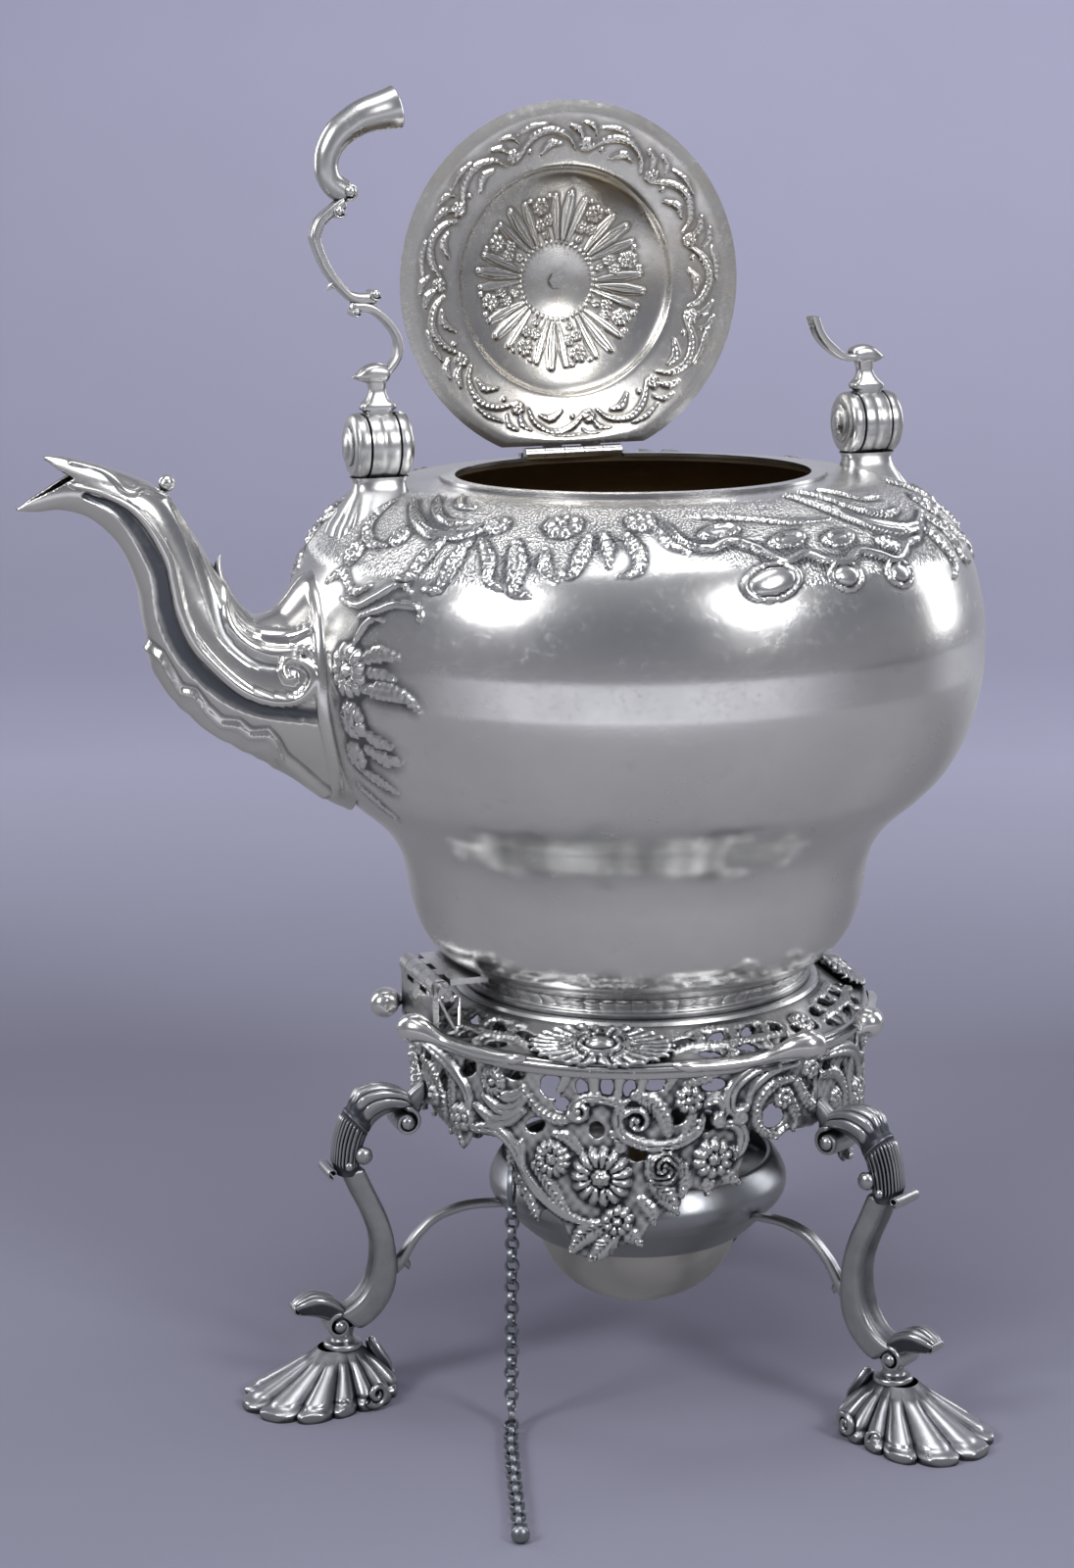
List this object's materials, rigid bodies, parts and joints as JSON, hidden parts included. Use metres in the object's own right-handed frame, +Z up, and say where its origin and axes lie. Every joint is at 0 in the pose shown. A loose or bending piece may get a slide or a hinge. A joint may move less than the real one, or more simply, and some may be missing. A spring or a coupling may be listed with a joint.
{
  "type": "hot water kettle on stand",
  "caption": "Antique silver hot-water kettle, swan-neck spout, hinged lid standing open and broken swing handle, on a pierced stand with scroll legs, shell feet and spirit lamp.",
  "frame": {"origin": "on the table, under the kettle's own axis", "axes": "+Z up; the spout points to -X and the lid hinge is at +Y; legs at 180, 300 and 60 degrees from +X"},
  "size_m": [0.2498, 0.2, 0.338],
  "materials": {
    "polished_silver": "polished",
    "cast_silver": "satin",
    "dark_silver": "satin",
    "satin_silver": "satin",
    "chain_silver": "satin",
    "burner_brass": "satin",
    "wick_cotton": "matte"
  },
  "bodies": {
    "stand": {"gallery_top": "cast_silver", "gallery_shell_1": "cast_silver", "gallery_shell_2": "cast_silver", "gallery_shell_3": "cast_silver", "gallery_scrolls_1": "cast_silver", "gallery_scrolls_2": "cast_silver", "gallery_scrolls_3": "cast_silver", "apron_1": "cast_silver", "apron_2": "cast_silver", "apron_3": "cast_silver", "apron_flowers_1": "cast_silver", "apron_flowers_2": "cast_silver", "apron_flowers_3": "cast_silver", "lamp_ring": "dark_silver", "leg_1": "dark_silver", "leg_2": "dark_silver", "leg_3": "dark_silver", "foot_1": "cast_silver", "foot_2": "cast_silver", "foot_3": "cast_silver", "bracket_1": "dark_silver", "bracket_2": "dark_silver", "bracket_3": "dark_silver", "stand_hinge_leaf": "cast_silver", "chain_ring": "chain_silver", "chain": "chain_silver", "chain_ball": "chain_silver"},
    "kettle": {"kettle_body": "polished_silver", "kettle_foot_ring": "polished_silver", "mouth_lip": "polished_silver", "spout": "polished_silver", "spout_leaf": "polished_silver", "spout_thumb_leaf": "polished_silver", "spout_knop": "polished_silver", "front_pedestal": "polished_silver", "rear_pedestal": "polished_silver", "front_pivot_pin": "polished_silver", "rear_pivot_pin": "polished_silver", "kettle_tilt_leaf": "polished_silver", "lid_hinge_seat": "polished_silver", "lid_hinge_pin": "polished_silver"},
    "lid": {"lid": "polished_silver", "lid_finial": "polished_silver", "finial_nut": "polished_silver", "lid_hinge_leaf": "polished_silver"},
    "front_arm": {"front_arm_root": "polished_silver", "front_arm_scroll": "polished_silver", "front_arm_strap": "polished_silver", "front_arm_socket": "polished_silver"},
    "rear_arm": {"rear_arm_root": "polished_silver", "rear_arm_stub": "polished_silver"},
    "lamp": {"lamp_bowl": "satin_silver", "lamp_cover": "satin_silver", "burner_collar": "burner_brass", "wick_tube": "burner_brass", "wick": "wick_cotton"},
    "hinge_pin": {"tilt_pin": "polished_silver", "pin_bead": "polished_silver", "pin_loop": "polished_silver"}
  },
  "joints": [
    {"name": "kettle_tilt", "type": "hinge", "parent": "stand", "child": "kettle", "pos_m": [-0.059, 0, 0.1122], "axis": [0, -1, 0], "range_deg": [0, 50]},
    {"name": "lid_hinge", "type": "hinge", "parent": "kettle", "child": "lid", "pos_m": [0, 0.0454, 0.24105], "axis": [1, 0, 0], "range_deg": [0, 90]},
    {"name": "front_arm_swing", "type": "hinge", "parent": "kettle", "child": "front_arm", "pos_m": [-0.0678, 0, 0.2502], "axis": [1, 0, 0], "range_deg": [-90, 90]},
    {"name": "rear_arm_swing", "type": "hinge", "parent": "kettle", "child": "rear_arm", "pos_m": [0.066, 0, 0.2502], "axis": [1, 0, 0], "range_deg": [-90, 90]},
    {"name": "lamp_lift", "type": "slide", "parent": "stand", "child": "lamp", "axis": [0, 0, 1], "range_m": [0, 0.04]},
    {"name": "pin_slide", "type": "slide", "parent": "stand", "child": "hinge_pin", "axis": [0, -1, 0], "range_m": [0, 0.026]}
  ]
}
